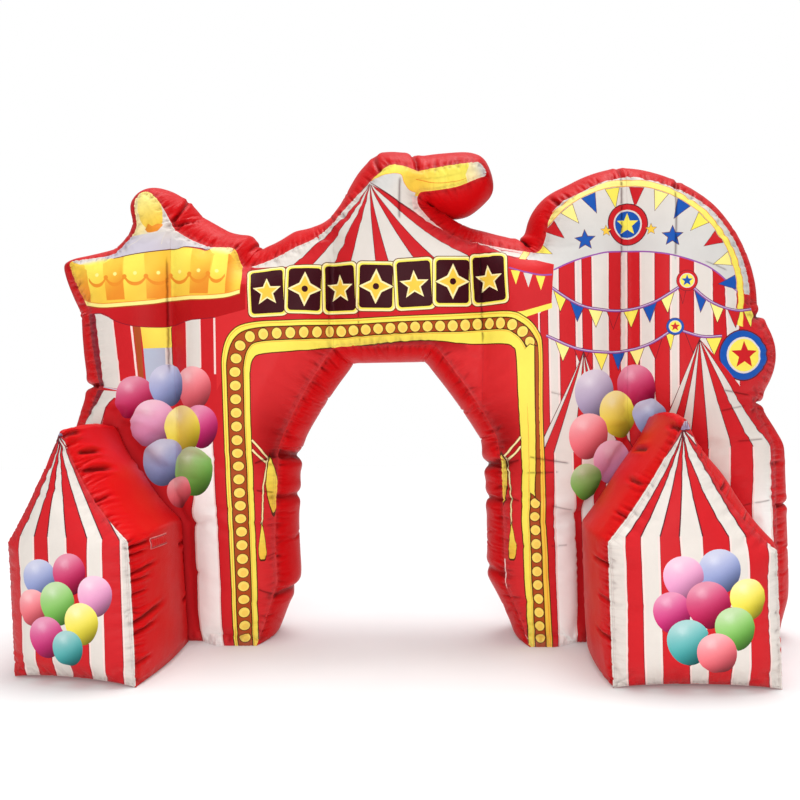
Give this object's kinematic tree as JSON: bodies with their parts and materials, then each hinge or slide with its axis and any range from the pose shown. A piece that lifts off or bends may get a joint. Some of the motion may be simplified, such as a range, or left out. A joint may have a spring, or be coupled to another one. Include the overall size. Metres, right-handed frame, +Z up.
{
  "type": "inflatable fairground arch with two tent boxes",
  "caption": "Inflatable walk-through entrance arch in printed cloth, with a domed wing, a pavilion tower, a big-top header with a pennant and a small inflated tent before each leg.",
  "frame": {"origin": "bottom centre of the whole object's box, on the ground, in the middle of its width and of its depth", "axes": "+X to the right as the printed front is seen, +Y from the front to the back, +Z up"},
  "size_m": [4.695, 1.5858, 3.14],
  "materials": {
    "red_cloth": "coated polyester, soft sheen, puckered at the seams",
    "printed_cloth": "coated polyester printed in red, cream, yellow and maroon, soft sheen",
    "printed_tent_cloth": "coated polyester printed in red and cream stripes, soft sheen",
    "patch_cloth": "coated polyester with a stitched border"
  },
  "bodies": {
    "root": {"arch_chamber": "red_cloth", "arch_front_panel": "printed_cloth", "arch_back_panel": "red_cloth", "tent_left_chamber": "red_cloth", "tent_left_front_panel": "printed_tent_cloth", "tent_left_patch": "patch_cloth", "tent_right_chamber": "red_cloth", "tent_right_front_panel": "printed_tent_cloth"}
  },
  "joints": []
}
